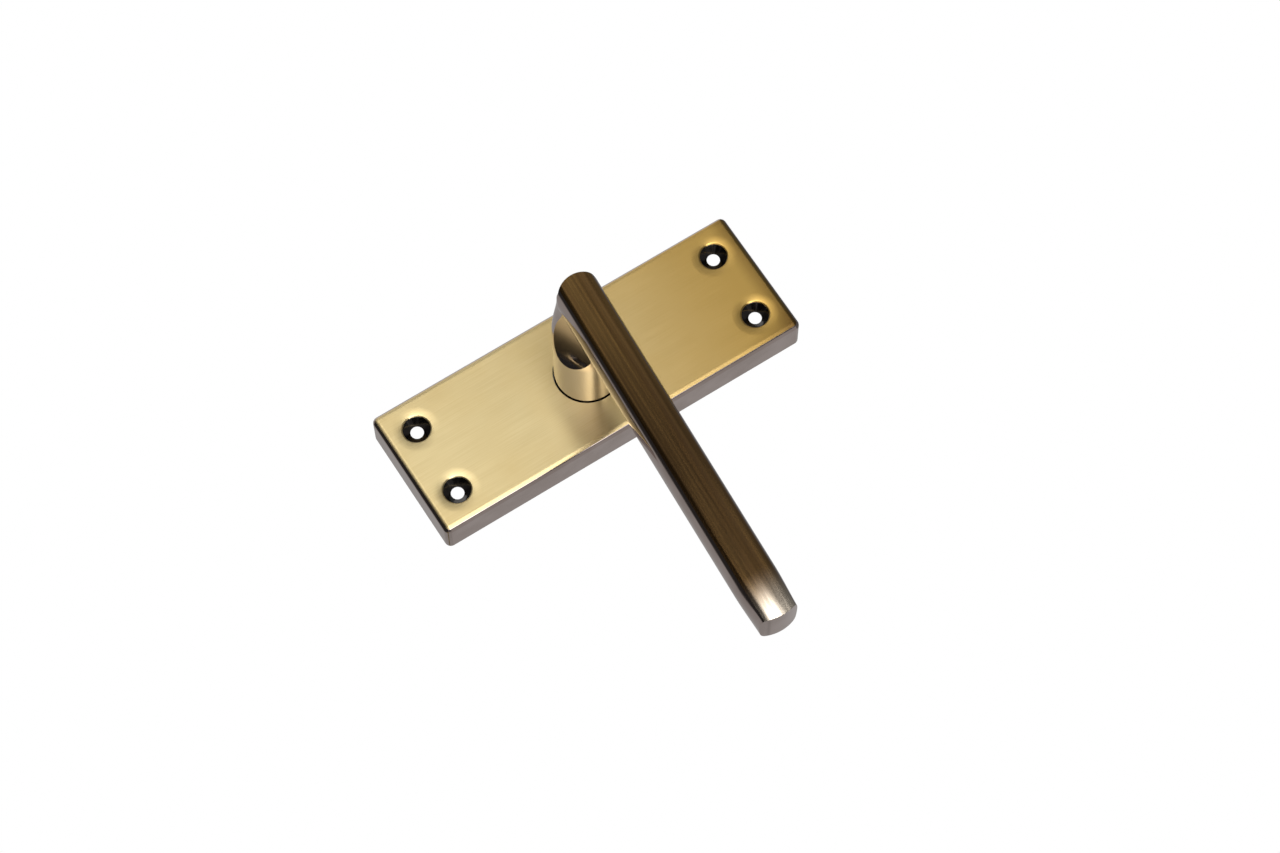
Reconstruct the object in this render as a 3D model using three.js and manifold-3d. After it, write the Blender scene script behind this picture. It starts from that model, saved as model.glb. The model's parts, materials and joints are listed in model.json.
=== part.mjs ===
// Straight lever door handle on a rectangular backplate, as an assembly of its separate pieces.
// Every piece is drawn in the handle's own frame: x across the door, y up, z out from the door face.
// The last group turns that frame so that the finished part has +Z up and faces -Y.

import * as THREE from 'three';
import { mergeVertices } from 'three/addons/utils/BufferGeometryUtils.js';
import Module from 'manifold-3d';

const wasm = await Module();
wasm.setup();

// ---- driving dimensions, millimetres and degrees ----

const plate = { length: 120, width: 41.8, depth: 11.4, wall: 1.4, edgeRadius: 1.6, cornerRadius: 0.3 };
const screwHole = { across: 11.05, along: 50.5, radius: 1.95, coneRadius: 3.85, lipRadius: 5, lipDrop: 0.45 };
const boss = { radius: 5, low: 8.5 }; // thickens the plate round each screw hole
const post = { radius: 2.6, low: 7.1 }; // takes one of the housing's screws
const root = 0.4; // how far a joined shape reaches into the one that carries it
const neckOpeningRadius = 10.1;

const neck = { radius: 9.63, shoulder: 7.6, top: 57, waistStart: 32, waistEnd: 56, endReach: 6.85, halfWidth: 6.3 };
const tail = { radius: 7.2, flat: 6.3, end: 0.9, flatTop: 5.15, grooveRadius: 6.5, grooveLow: 1.9, grooveHigh: 3 };
const facet = { distance: 8.05, facing: 120, bottom: 32.3, coveTop: 39.5 };
const grip = {
  front: 62.7, // height of the front face's long edges above the door
  crown: 0.8,
  halfFront: 4.7,
  sideRadius: 13.53,
  sideLean: 30, // how far the side leans back where it meets the front face
  depth: 12.3,
  backRadius: 2,
  headEnd: 6.9,
  headHalfWidth: 5.1,
  headCornerStart: 2,
  tipEnd: 107,
  tipFront: 106.6,
  tipBackRadius: 2.4,
  endRadius: 9.5,
  taperLength: 13,
  tipHalfWidth: 5.2,
  halfWidth: 6.7,
};
const restTilt = 3.14; // the tip stands this far above level on its stop
const turn = 50; // travel of the lever from rest

const socket = { half: 4.2, top: 32 };
const spindle = { half: 3.9, top: 31.5, reach: 40, chamfer: 0.7 };
const grub = {
  height: 20,
  radius: 2.2,
  holeRadius: 2.5,
  inner: 4.3,
  outer: 8.9,
  chamfer: 0.6,
  hexRadius: 1.45,
  hexDepth: 2.6,
};

const housing = { width: 36, length: 58, floorLow: 5.3, floorHigh: 6.8, bore: 7.5, rimHigh: 9.7 };
const collar = { inner: 12.4, outer: 14 };
const pocket = { inner: 15.4, outer: 17, low: 1.3 };
const housingScrew = {
  across: 13,
  along: 24,
  radius: 0.85,
  hole: 1.15,
  headRadius: 1.9,
  headLow: 3.1,
  headHigh: 4.3,
  top: 9.3,
};
const springRest = { inner: 12, gap: 3.6, width: 12 }; // gap and width in degrees
const stop = { inner: 12.2, low: 3.6, lobeRest: 65, lobeHalf: 13, gap: 2, width: 14 };
const cam = { radius: 9.8, lobeRadius: 13.8, low: 3.9, high: 5, clearance: 0.3 };
const peg = { inner: 11.9, outer: 13.6, low: 1.5, halfAngle: 4 };
const spring = {
  radius: 10.6,
  wire: 0.5, // the wire's own radius
  high: 2.95,
  low: 1.6,
  movingAngle: 72.4,
  movingReach: 13.3,
  fixedAngle: 560,
  fixedReach: 14.5,
};
const cover = { inner: 9.4, outer: 16.8, low: 0.3, high: 1 };
const bush = { inner: 9.9, outer: 12.1, low: 7, high: 9.7 };
const thrust = { inner: 7.5, outer: 9.4, low: 7, high: 7.4 };
const lock = { outer: 2, low: 4.6, high: 5 };
const wave = { inner: 7.5, outer: 9.3, middle: 3.4, thickness: 0.24, rise: 0.1, count: 3 };
const clip = { outer: 8.9, low: 2.1, high: 2.8, gap: 25, clearance: 0.25 };
const clipEar = { inner: 0.5, outer: 1.15, reach: 7.8, spread: 3.1 };
const driverSlot = { half: 0.25, reach: 1.2, depth: 0.6 };

const around = 48; // segments of a large circle
const small = 16; // segments of a screw-sized circle

// ---- solids: closed meshes, joined and cut ----

function toSolid(geometry) {
  const plain = new THREE.BufferGeometry();
  plain.setAttribute('position', geometry.getAttribute('position'));
  if (geometry.index) plain.setIndex(geometry.index);
  const merged = mergeVertices(plain, 1e-4);
  const points = merged.getAttribute('position').array;
  const corners = merged.index.array;
  const triangles = [];
  let volume = 0;
  for (let i = 0; i < corners.length; i += 3) {
    const [a, b, c] = [corners[i], corners[i + 1], corners[i + 2]];
    if (a === b || b === c || c === a) continue;
    triangles.push(a, b, c);
    const [p, q, r] = [a, b, c].map((k) => new THREE.Vector3().fromArray(points, 3 * k));
    volume += p.dot(q.cross(r));
  }
  if (volume < 0) triangles.reverse();
  return new wasm.Manifold(
    new wasm.Mesh({ numProp: 3, vertProperties: new Float32Array(points), triVerts: new Uint32Array(triangles) }),
  );
}

function toGeometry(solid) {
  const mesh = solid.getMesh();
  const geometry = new THREE.BufferGeometry();
  geometry.setAttribute('position', new THREE.BufferAttribute(new Float32Array(mesh.vertProperties), 3));
  geometry.setIndex(new THREE.BufferAttribute(new Uint32Array(mesh.triVerts), 1));
  return geometry;
}

const join = (first, ...others) => others.reduce((sum, next) => sum.add(next), first);
const cut = (first, ...others) => others.reduce((rest, next) => rest.subtract(next), first);
const common = (first, ...others) => others.reduce((rest, next) => rest.intersect(next), first);

// ---- basic shapes, all with z as their own height ----

function extrude(shape, low, high, curveSegments = around / 4) {
  const geometry = new THREE.ExtrudeGeometry(shape, { depth: high - low, bevelEnabled: false, curveSegments });
  return geometry.translate(0, 0, low);
}

function disc(radius, low, high, segments = around) {
  const geometry = new THREE.CylinderGeometry(radius, radius, high - low, segments);
  return toSolid(geometry.rotateX(Math.PI / 2).translate(0, 0, (low + high) / 2));
}

const ring = (inner, outer, low, high, segments = around) =>
  cut(disc(outer, low, high, segments), disc(inner, low - 1, high + 1, segments));

function box(x0, x1, y0, y1, z0, z1) {
  const geometry = new THREE.BoxGeometry(x1 - x0, y1 - y0, z1 - z0);
  return toSolid(geometry.translate((x0 + x1) / 2, (y0 + y1) / 2, (z0 + z1) / 2));
}

function lathe(points, segments) {
  const profile = points.map(([radius, height]) => new THREE.Vector2(radius, height));
  return toSolid(new THREE.LatheGeometry(profile, segments).rotateX(Math.PI / 2));
}

function roundedRectangle(width, length, radius) {
  const [x, y] = [width / 2 - radius, length / 2 - radius];
  const shape = new THREE.Shape();
  shape.absarc(x, y, radius, 0, Math.PI / 2);
  shape.absarc(-x, y, radius, Math.PI / 2, Math.PI);
  shape.absarc(-x, -y, radius, Math.PI, 1.5 * Math.PI);
  shape.absarc(x, -y, radius, 1.5 * Math.PI, 2 * Math.PI);
  return shape;
}

// A ring sector between two angles, counted anticlockwise from +x.
function sector(inner, outer, start, end, low, high) {
  const [from, to] = [start, end].map(THREE.MathUtils.degToRad);
  const shape = new THREE.Shape();
  shape.absarc(0, 0, outer, from, to, false);
  shape.absarc(0, 0, inner, to, from, true);
  return toSolid(extrude(shape, low, high, 6));
}

// A circle with a flat on its left and right.
function flattedCircle(radius, flat) {
  const half = Math.acos(flat / radius);
  const shape = new THREE.Shape();
  shape.absarc(0, 0, radius, half, Math.PI - half, false);
  shape.absarc(0, 0, radius, Math.PI + half, 2 * Math.PI - half, false);
  return shape;
}

// A profile drawn in y and z and run along x, or drawn in x and z and run along y.
const alongX = new THREE.Matrix4().makeBasis(
  new THREE.Vector3(0, 1, 0),
  new THREE.Vector3(0, 0, 1),
  new THREE.Vector3(1, 0, 0),
);
const runAlongX = (shape, from, to, segments) =>
  toSolid(extrude(shape, from, to, segments).applyMatrix4(alongX));
const runAlongY = (shape, half, segments) =>
  toSolid(extrude(shape, -half, half, segments).rotateX(Math.PI / 2));

const signs = [
  [1, 1],
  [-1, 1],
  [1, -1],
  [-1, -1],
];

// ---- fixed pieces ----

function screwHoleCutter(x, y) {
  const { radius, coneRadius, lipRadius, lipDrop } = screwHole;
  const face = plate.depth;
  const start = boss.low - 1;
  const lip = new THREE.QuadraticBezierCurve(
    new THREE.Vector2(coneRadius, face - lipDrop),
    new THREE.Vector2(coneRadius + lipDrop, face),
    new THREE.Vector2(lipRadius, face),
  );
  const profile = [
    [0, start],
    [radius, start],
    [radius, face - lipDrop - (coneRadius - radius)],
    ...lip.getPoints(3).map((point) => [point.x, point.y]),
    [lipRadius, face + 1],
    [0, face + 1],
  ];
  return lathe(profile, 24).translate([x, y, 0]);
}

function backplate() {
  const { length, width, depth, wall, edgeRadius, cornerRadius } = plate;
  const inset = roundedRectangle(width - 2 * edgeRadius, length - 2 * edgeRadius, cornerRadius);
  const blank = new THREE.ExtrudeGeometry(inset, {
    depth,
    bevelSize: edgeRadius,
    bevelThickness: edgeRadius,
    bevelSegments: 4,
    curveSegments: 2,
  }).translate(0, 0, -edgeRadius);
  const hollow = roundedRectangle(width - 2 * wall, length - 2 * wall, 1);
  const ceiling = depth - wall;
  let solid = common(toSolid(blank), box(-width, width, -length, length, 0, 2 * depth));
  solid = cut(solid, toSolid(extrude(hollow, -1, ceiling)));
  for (const [sx, sy] of signs) {
    const [x, y] = [sx * screwHole.across, sy * screwHole.along];
    const pad = disc(boss.radius, boss.low, ceiling + root, 24).translate([x, y, 0]);
    solid = cut(join(solid, pad), screwHoleCutter(x, y));
    const sleeve = ring(housingScrew.hole, post.radius, post.low, ceiling - root, small);
    const top = disc(post.radius, ceiling - root, ceiling + root, small);
    const place = [sx * housingScrew.across, sy * housingScrew.along, 0];
    solid = join(solid, join(sleeve, top).translate(place));
  }
  return cut(solid, disc(neckOpeningRadius, 5, depth + 1));
}

const flatRing = ({ inner, outer, low, high }, segments) => ring(inner, outer, low, high, segments);

function springHousing() {
  const { width, length, floorLow, floorHigh, bore, rimHigh } = housing;
  const flange = toSolid(extrude(roundedRectangle(width, length, 3), floorLow, floorHigh, 4));
  const lugRoot = floorLow + root / 2;
  const lugWall = pocket.inner + root;
  const rim = ring(collar.inner, collar.outer, floorHigh - root / 2, rimHigh);
  const wall = ring(pocket.inner, pocket.outer, pocket.low, lugRoot);
  const lobeEnd = stop.lobeRest + turn;
  const nearAngle = stop.lobeRest - stop.lobeHalf - stop.gap;
  const farAngle = lobeEnd + stop.lobeHalf + stop.gap;
  const nearLug = sector(stop.inner, lugWall, nearAngle - stop.width, nearAngle, stop.low, lugRoot);
  const farLug = sector(stop.inner, lugWall, farAngle, farAngle + stop.width, stop.low, lugRoot);
  const restAngle = spring.fixedAngle - 360 + springRest.gap;
  const restLug = sector(springRest.inner, lugWall, restAngle, restAngle + springRest.width, pocket.low, lugRoot);
  const [under, over] = [floorLow - 1, floorHigh + 1];
  const holes = signs.map(([sx, sy]) =>
    disc(housingScrew.hole, under, over, small).translate([sx * housingScrew.across, sy * housingScrew.along, 0]),
  );
  const body = join(flange, rim, wall, nearLug, farLug, restLug);
  return cut(body, disc(bore, under, over), ...holes);
}

function housingScrewBlank() {
  const { radius, headRadius, headLow, headHigh, top } = housingScrew;
  const head = disc(headRadius, headLow, headHigh, small);
  const shank = disc(radius, headHigh - 0.1, top, small);
  const { half, reach, depth } = driverSlot;
  const across = box(-reach, reach, -half, half, headLow - 1, headLow + depth);
  const along = box(-half, half, -reach, reach, headLow - 1, headLow + depth);
  return cut(join(head, shank), across, along);
}

// ---- the lever and what turns with it ----

// Half the grip's cross-section: the side bows out, then rounds into the back.
function gripSection() {
  const lean = THREE.MathUtils.degToRad(grip.sideLean);
  const centreY = grip.halfFront - grip.sideRadius * Math.cos(lean);
  const centreZ = grip.front - grip.sideRadius * Math.sin(lean);
  const back = grip.front - grip.depth;
  const tuck = Math.asin((back + grip.backRadius - centreZ) / grip.sideRadius);
  const edgeY = centreY + grip.sideRadius * Math.cos(tuck);
  const shape = new THREE.Shape();
  shape.moveTo(grip.halfFront, grip.front);
  shape.quadraticCurveTo(0, grip.front + 2 * grip.crown, -grip.halfFront, grip.front);
  shape.absarc(-centreY, centreZ, grip.sideRadius, Math.PI - lean, Math.PI - tuck, false);
  shape.quadraticCurveTo(-edgeY + 0.5, back, -edgeY + grip.backRadius + 0.5, back);
  shape.lineTo(edgeY - grip.backRadius - 0.5, back);
  shape.quadraticCurveTo(edgeY - 0.5, back, edgeY, back + grip.backRadius);
  shape.absarc(centreY, centreZ, grip.sideRadius, tuck, lean, false);
  return shape;
}

// The grip seen from the front: both ends are shallow arcs, and the tip draws in.
function gripOutline() {
  const { headEnd, headHalfWidth, headCornerStart, tipEnd, taperLength, tipHalfWidth, halfWidth, endRadius } = grip;
  const headSag = endRadius - Math.sqrt(endRadius ** 2 - headHalfWidth ** 2);
  const tipSag = endRadius - Math.sqrt(endRadius ** 2 - tipHalfWidth ** 2);
  const taperStart = -(tipEnd - taperLength);
  const shape = new THREE.Shape();
  shape.moveTo(taperStart, -halfWidth);
  shape.lineTo(headCornerStart, -halfWidth);
  shape.quadraticCurveTo(headEnd - headSag, -halfWidth, headEnd - headSag, -headHalfWidth);
  shape.quadraticCurveTo(headEnd + headSag, 0, headEnd - headSag, headHalfWidth);
  shape.quadraticCurveTo(headEnd - headSag, halfWidth, headCornerStart, halfWidth);
  shape.lineTo(taperStart, halfWidth);
  shape.quadraticCurveTo(taperStart - 0.6 * taperLength, halfWidth, -(tipEnd - tipSag), tipHalfWidth);
  shape.quadraticCurveTo(-(tipEnd + tipSag), 0, -(tipEnd - tipSag), -tipHalfWidth);
  shape.quadraticCurveTo(taperStart - 0.6 * taperLength, -halfWidth, taperStart, -halfWidth);
  return shape;
}

// The grip seen from above: the tip face bows out a little and rounds into the back.
function gripProfile() {
  const back = grip.front - grip.depth;
  const top = grip.front + 2;
  const pastHead = grip.headEnd + 3;
  const { tipFront, tipEnd, tipBackRadius } = grip;
  const shape = new THREE.Shape();
  shape.moveTo(pastHead, top);
  shape.lineTo(-tipFront, top);
  shape.lineTo(-tipFront, grip.front);
  shape.quadraticCurveTo(tipFront - 2 * tipEnd, grip.front - grip.depth / 2, -tipFront, back + tipBackRadius);
  shape.quadraticCurveTo(-tipFront, back, -tipFront + tipBackRadius, back);
  shape.lineTo(pastHead, back);
  return shape;
}

// The neck is round at the plate and draws in towards the squarer outline of the lever's head.
function neckColumn() {
  const { radius, shoulder, top, waistStart, waistEnd, endReach, halfWidth } = neck;
  const geometry = new THREE.CylinderGeometry(1, 1, top - shoulder, 56, 16).rotateX(Math.PI / 2);
  const position = geometry.getAttribute('position');
  const point = new THREE.Vector3();
  for (let i = 0; i < position.count; i += 1) {
    point.fromBufferAttribute(position, i);
    const height = point.z + (shoulder + top) / 2;
    const share = THREE.MathUtils.smoothstep(height, waistStart, waistEnd);
    const reach = THREE.MathUtils.lerp(radius, point.x > 0 ? endReach : radius, share);
    const half = THREE.MathUtils.lerp(radius, halfWidth, share);
    const power = THREE.MathUtils.lerp(2, 4.5, share); // 2 is round, higher is squarer
    const length = Math.hypot(point.x, point.y);
    const size = (Math.abs(point.x) / reach) ** power + (Math.abs(point.y) / half) ** power;
    const scale = length < 1e-6 ? 1 : size ** (-1 / power);
    position.setXYZ(i, point.x * scale, point.y * scale, height);
  }
  return toSolid(geometry);
}

// A hollowed facet that turns the round neck towards the grip, above on one side and mirrored below.
function facetCutter(side) {
  const { distance, facing, bottom, coveTop } = facet;
  const outside = neck.radius + 3;
  const shape = new THREE.Shape();
  shape.moveTo(distance, neck.top + 2);
  shape.lineTo(distance, coveTop);
  shape.quadraticCurveTo(distance, bottom + 1.5, neck.radius + 0.1, bottom);
  shape.lineTo(outside, bottom);
  shape.lineTo(outside, neck.top + 2);
  const turned = toSolid(extrude(shape, -12, 12, 8).rotateX(Math.PI / 2));
  return turned.rotate([0, 0, side * facing]);
}

function lever() {
  const bar = common(
    runAlongX(gripSection(), -120, 20, 9),
    toSolid(extrude(gripOutline(), 40, 70, 10)),
    runAlongY(gripProfile(), 10, 10),
  );
  const column = cut(neckColumn(), facetCutter(1), facetCutter(-1));
  const tailRound = disc(tail.radius, tail.flatTop - 0.1, neck.shoulder + root);
  const tailFlat = toSolid(extrude(flattedCircle(tail.radius, tail.flat), tail.end, tail.flatTop));
  const groove = ring(tail.grooveRadius, tail.radius + 1, tail.grooveLow, tail.grooveHigh);
  const well = box(-socket.half, socket.half, -socket.half, socket.half, -1, socket.top);
  const grubHole = disc(grub.holeRadius, 0, 15, 24).rotate([90, 0, 0]).translate([0, 0, grub.height]);
  return cut(join(bar, column, tailRound, tailFlat), groove, well, grubHole);
}

function grubScrew() {
  const { radius, inner, outer, height, hexRadius, hexDepth, chamfer } = grub;
  const shank = disc(radius, inner + chamfer, outer, 24);
  const point = new THREE.CylinderGeometry(radius, radius - chamfer, chamfer, 24).rotateX(Math.PI / 2);
  const cup = toSolid(point.translate(0, 0, inner + chamfer / 2));
  const key = disc(hexRadius, outer - hexDepth, outer + 1, 6);
  return cut(join(shank, cup), key).rotate([90, 0, 0]).translate([0, 0, height]);
}

function squareSpindle() {
  const { half, top, reach, chamfer } = spindle;
  const side = 2 * (half - chamfer);
  const geometry = new THREE.ExtrudeGeometry(roundedRectangle(side, side, 0.1), {
    depth: top + reach - 2 * chamfer,
    bevelSize: chamfer,
    bevelThickness: chamfer,
    bevelSegments: 1,
    curveSegments: 1,
  });
  return toSolid(geometry.translate(0, 0, chamfer - reach));
}

function driveCam() {
  const { radius, lobeRadius, low, high, clearance } = cam;
  const lobe = [stop.lobeRest - stop.lobeHalf, stop.lobeRest + stop.lobeHalf];
  const arm = sector(radius - 1, lobeRadius, lobe[0], lobe[1], low, high);
  const pegSpan = [stop.lobeRest - peg.halfAngle, stop.lobeRest + peg.halfAngle];
  const down = sector(peg.inner, peg.outer, pegSpan[0], pegSpan[1], peg.low, low + root / 2);
  const bore = extrude(flattedCircle(tail.radius + clearance, tail.flat + clearance), low - 1, high + 1);
  const body = join(disc(radius, low, high), arm, down).rotate([0, 0, restTilt]);
  return cut(body, toSolid(bore));
}

// A thin ring that rises and falls as it goes round.
function waveWasher() {
  const { inner, outer, middle, thickness, rise, count } = wave;
  const shape = new THREE.Shape();
  shape.absarc(0, 0, outer, 0, 2 * Math.PI);
  shape.holes.push(new THREE.Path().absarc(0, 0, inner, 0, 2 * Math.PI, true));
  const geometry = extrude(shape, middle - thickness / 2, middle + thickness / 2, 24);
  const position = geometry.getAttribute('position');
  for (let i = 0; i < position.count; i += 1) {
    const angle = Math.atan2(position.getY(i), position.getX(i));
    position.setZ(i, position.getZ(i) + rise * Math.cos(count * angle));
  }
  return toSolid(geometry);
}

function circlip() {
  const { outer, low, high, gap, clearance } = clip;
  const band = sector(tail.grooveRadius + clearance, outer, gap, 360 - gap, low, high);
  const ears = [1, -1].map((side) => {
    const ear = ring(clipEar.inner, clipEar.outer, low, high, 12);
    return ear.translate([clipEar.reach, side * clipEar.spread, 0]);
  });
  return join(band, ...ears);
}

function returnSpring() {
  const { radius, wire, high, low, movingAngle, fixedAngle, movingReach, fixedReach } = spring;
  const steps = 64;
  const bend = 8; // degrees between a leg and the coil
  const bendReach = radius + 1.1;
  const at = (reach, angle, height) => {
    const a = THREE.MathUtils.degToRad(angle);
    return new THREE.Vector3(reach * Math.cos(a), reach * Math.sin(a), height);
  };
  const points = [at(movingReach, movingAngle, high), at(bendReach, movingAngle, high)];
  for (let i = 0; i <= steps; i += 1) {
    const share = i / steps;
    const angle = movingAngle + bend + share * (fixedAngle - movingAngle - 2 * bend);
    points.push(at(radius, angle, high + share * (low - high)));
  }
  points.push(at(bendReach, fixedAngle, low), at(fixedReach, fixedAngle, low));
  const section = new THREE.Shape();
  section.absarc(0, 0, wire, 0, 2 * Math.PI);
  const path = new THREE.CatmullRomCurve3(points);
  return toSolid(new THREE.ExtrudeGeometry(section, { steps: 80, extrudePath: path, curveSegments: 4 }));
}

// ---- materials ----

const finish = (color, roughness, metalness) => new THREE.MeshStandardMaterial({ color, roughness, metalness });
const materials = {
  brushedBronze: finish('#a8874a', 0.38, 1),
  darkBronze: finish('#5a4220', 0.3, 1),
  steel: finish('#9a9c9e', 0.35, 1),
  springSteel: finish('#4c4f54', 0.4, 1),
  zincCasting: finish('#8d9093', 0.5, 1),
  nylon: finish('#1a1a1a', 0.6, 0),
};

// ---- assembly ----

function piece(name, solid, material) {
  const mesh = new THREE.Mesh(toGeometry(solid), material);
  mesh.name = name;
  return mesh;
}

const fixed = new THREE.Group();
fixed.add(
  piece('backplate', backplate(), materials.brushedBronze),
  piece('neck_bush', flatRing(bush), materials.nylon),
  piece('spring_housing', springHousing(), materials.zincCasting),
  piece('spring_cover', flatRing(cover), materials.steel),
);
signs.forEach(([sx, sy], i) => {
  const place = [sx * housingScrew.across, sy * housingScrew.along, 0];
  fixed.add(piece(`housing_screw_${i + 1}`, housingScrewBlank().translate(place), materials.steel));
  const washer = flatRing({ inner: housingScrew.hole, ...lock }, small);
  fixed.add(piece(`lock_washer_${i + 1}`, washer.translate(place), materials.springSteel));
});

const moving = new THREE.Group();
moving.rotation.z = THREE.MathUtils.degToRad(-restTilt);
moving.add(
  piece('lever', lever(), materials.darkBronze),
  piece('thrust_washer', flatRing(thrust), materials.nylon),
  piece('drive_cam', driveCam(), materials.steel),
  piece('wave_washer', waveWasher(), materials.springSteel),
  piece('circlip', circlip(), materials.springSteel),
  piece('grub_screw', grubScrew(), materials.springSteel),
  piece('spindle', squareSpindle(), materials.steel),
);

const handle = new THREE.Group();
handle.rotation.x = Math.PI / 2;
handle.add(fixed, moving, piece('return_spring', returnSpring(), materials.springSteel));

const part = new THREE.Group();
part.add(handle);

export default part;
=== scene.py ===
import json
import math

import bmesh
import bpy
from mathutils import Matrix, Vector


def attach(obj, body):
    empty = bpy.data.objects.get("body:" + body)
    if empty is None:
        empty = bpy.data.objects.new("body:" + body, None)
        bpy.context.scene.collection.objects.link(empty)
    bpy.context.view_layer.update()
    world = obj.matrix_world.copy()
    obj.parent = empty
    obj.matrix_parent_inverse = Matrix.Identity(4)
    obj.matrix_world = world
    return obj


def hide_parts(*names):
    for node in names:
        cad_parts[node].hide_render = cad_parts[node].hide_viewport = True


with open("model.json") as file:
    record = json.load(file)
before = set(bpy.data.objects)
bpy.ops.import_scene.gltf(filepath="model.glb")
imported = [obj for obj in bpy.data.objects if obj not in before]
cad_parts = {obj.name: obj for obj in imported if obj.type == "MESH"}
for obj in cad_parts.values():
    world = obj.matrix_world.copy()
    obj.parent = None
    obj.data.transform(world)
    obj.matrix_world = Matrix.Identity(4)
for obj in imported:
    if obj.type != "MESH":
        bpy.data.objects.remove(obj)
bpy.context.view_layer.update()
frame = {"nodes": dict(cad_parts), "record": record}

scene = bpy.context.scene
millimetre = 0.001  # every piece is drawn in millimetres and shrunk when it is finished
restTilt = math.radians(3.14)  # the lever stands this far above level
leverTurn = Matrix.Rotation(restTilt, 4, "Y")

# The camera stands where the plate is seen lying aslant; its turn is in degrees about X, Y and Z.
studio = {
    "cameraPlace": (-0.35516, -0.93916, 0.20697),
    "cameraTurn": (112.757, 122.670, -0.265),
    "lens": 99.48,
    "lightColour": (1.0, 0.97, 0.95),
    "base": 0.03,
    "floorHeight": -0.30,
    "floorRadius": 0.5,
    "floorGlow": 0.14,
}


def addCamera():
    data = bpy.data.cameras.new("studioCamera")
    data.lens = studio["lens"]
    data.sensor_width = 36
    data.clip_start = 0.01
    data.dof.use_dof = False
    camera = bpy.data.objects.new("studioCamera", data)
    scene.collection.objects.link(camera)
    camera.location = studio["cameraPlace"]
    camera.rotation_euler = [math.radians(angle) for angle in studio["cameraTurn"]]
    scene.camera = camera


def node(tree, kind, x, y, **settings):
    made = tree.nodes.new(kind)
    made.location = (x, y)
    for name, value in settings.items():
        setattr(made, name, value)
    return made


def mathNode(tree, operation, x, y, first, second=None):
    made = node(tree, "ShaderNodeMath", x, y, operation=operation)
    for socket, value in zip(made.inputs, (first, second)):
        if value is None:
            continue
        if hasattr(value, "is_linked"):
            tree.links.new(value, socket)
        else:
            socket.default_value = value
    return made.outputs[0]


def ramp(tree, x, y, value, low, high, fromValue=0.0, toValue=1.0):
    made = node(tree, "ShaderNodeMapRange", x, y, interpolation_type="SMOOTHSTEP")
    tree.links.new(value, made.inputs["Value"])
    made.inputs["From Min"].default_value = low
    made.inputs["From Max"].default_value = high
    made.inputs["To Min"].default_value = fromValue
    made.inputs["To Max"].default_value = toValue
    return made.outputs["Result"]


# Softboxes round the object: middle azimuth, half width and soft edge, then middle elevation, half height
# and soft edge, then glow. Azimuth 0 is straight out from the door and grows towards +X, in degrees.
softboxes = {
    "keyFront": (-26, 35, 6, 1, 8, 9, 3.75),
    "upperFront": (-26, 35, 6, 27, 10, 8, 0.9),
    "frontFill": (25, 40, 10, 0, 25, 20, 0.09),
    "sideRight": (70, 40, 9, -5, 30, 12, 0.4),
    "skyBack": (180, 75, 14, 24.5, 19.5, 5, 0.34),
    "lowBack": (180, 100, 14, -22, 20, 8, 0.38),
    "lowFront": (0, 90, 14, -60, 30, 10, 0.2),
}


def addSurroundings():
    world = bpy.data.worlds.new("studioSurroundings")
    scene.world = world
    world.use_nodes = True
    tree = world.node_tree
    tree.nodes.clear()
    place = node(tree, "ShaderNodeTexCoord", -1400, 0)
    split = node(tree, "ShaderNodeSeparateXYZ", -1200, 0)
    tree.links.new(place.outputs["Generated"], split.inputs[0])
    minusY = mathNode(tree, "MULTIPLY", -1000, 100, split.outputs["Y"], -1.0)
    azimuth = mathNode(tree, "ARCTAN2", -850, 100, split.outputs["X"], minusY)
    azimuth = mathNode(tree, "DEGREES", -700, 100, azimuth)
    elevation = mathNode(tree, "ARCSINE", -850, -100, split.outputs["Z"])
    elevation = mathNode(tree, "DEGREES", -700, -100, elevation)
    total = None
    for i, (middle, halfWidth, softSide, height, halfHeight, soft, glow) in enumerate(softboxes.values()):
        y = -250 * i
        away = mathNode(tree, "SUBTRACT", -500, y, azimuth, float(middle))
        away = mathNode(tree, "WRAP", -400, y, away, 180.0)
        tree.nodes[-1].inputs[2].default_value = -180.0
        away = mathNode(tree, "ABSOLUTE", -300, y, away)
        across = ramp(tree, -150, y, away, halfWidth, halfWidth + softSide, 1.0, 0.0)
        lift = mathNode(tree, "SUBTRACT", -500, y - 120, elevation, float(height))
        lift = mathNode(tree, "ABSOLUTE", -300, y - 120, lift)
        along = ramp(tree, -150, y - 120, lift, halfHeight, halfHeight + soft, 1.0, 0.0)
        box = mathNode(tree, "MULTIPLY", 50, y, across, along)
        box = mathNode(tree, "MULTIPLY", 200, y, box, glow)
        total = box if total is None else mathNode(tree, "ADD", 350, y, total, box)
    total = mathNode(tree, "ADD", 500, 0, total, studio["base"])
    light = node(tree, "ShaderNodeBackground", 700, 0)
    light.inputs["Color"].default_value = (*studio["lightColour"], 1)
    tree.links.new(total, light.inputs["Strength"])
    paper = node(tree, "ShaderNodeBackground", 700, -150)
    paper.inputs["Color"].default_value = (1, 1, 1, 1)
    paper.inputs["Strength"].default_value = 1.0
    path = node(tree, "ShaderNodeLightPath", 700, 300)
    mix = node(tree, "ShaderNodeMixShader", 900, 0)
    tree.links.new(path.outputs["Is Camera Ray"], mix.inputs[0])
    tree.links.new(light.outputs[0], mix.inputs[1])
    tree.links.new(paper.outputs[0], mix.inputs[2])
    out = node(tree, "ShaderNodeOutputWorld", 1100, 0)
    tree.links.new(mix.outputs[0], out.inputs["Surface"])


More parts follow.
